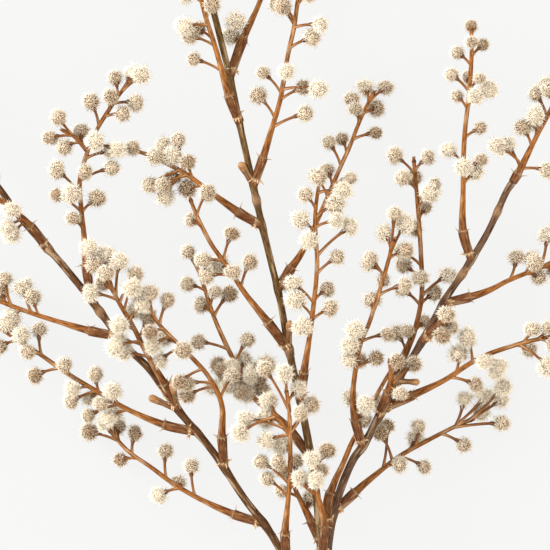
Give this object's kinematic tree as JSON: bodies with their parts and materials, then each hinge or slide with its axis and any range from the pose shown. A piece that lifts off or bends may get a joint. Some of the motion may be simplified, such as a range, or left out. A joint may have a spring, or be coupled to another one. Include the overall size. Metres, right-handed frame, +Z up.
{
  "type": "wattle branch",
  "caption": "Cut wattle branch lying flat, its forked stem carrying slender side sprays of stalked, round, fuzzy flower heads.",
  "frame": {"origin": "middle of the branch's box, on the surface that the branch lies on", "axes": "+Y from the cut end of the stem towards the tips, +Z up from the surface, +X to the right seen from above"},
  "size_m": [0.3512, 0.5652, 0.0747],
  "materials": {
    "bark": "matte, flaky bark",
    "flower": "soft fibres"
  },
  "bodies": {
    "root": {"stem": "bark", "spray_left_1": "flower", "spray_left_2": "flower", "spray_left_3": "flower", "spray_left_4": "flower", "spray_left_5": "flower", "spray_left_6": "flower", "spray_left_7": "flower", "spray_left_8": "flower", "spray_left_top": "flower", "spray_middle_1": "flower", "spray_middle_2": "flower", "spray_middle_3": "flower", "spray_middle_4": "flower", "spray_middle_5": "flower", "spray_middle_6": "flower", "spray_middle_7": "flower", "spray_middle_8": "flower", "spray_middle_9": "flower", "spray_middle_10": "flower", "spray_middle_top": "flower", "spray_right_1": "flower", "spray_right_2": "flower", "spray_right_3": "flower", "spray_right_4": "flower", "spray_right_5": "flower", "spray_right_6": "flower", "spray_right_7": "flower", "spray_right_8": "flower", "spray_right_top": "flower"}
  },
  "joints": []
}
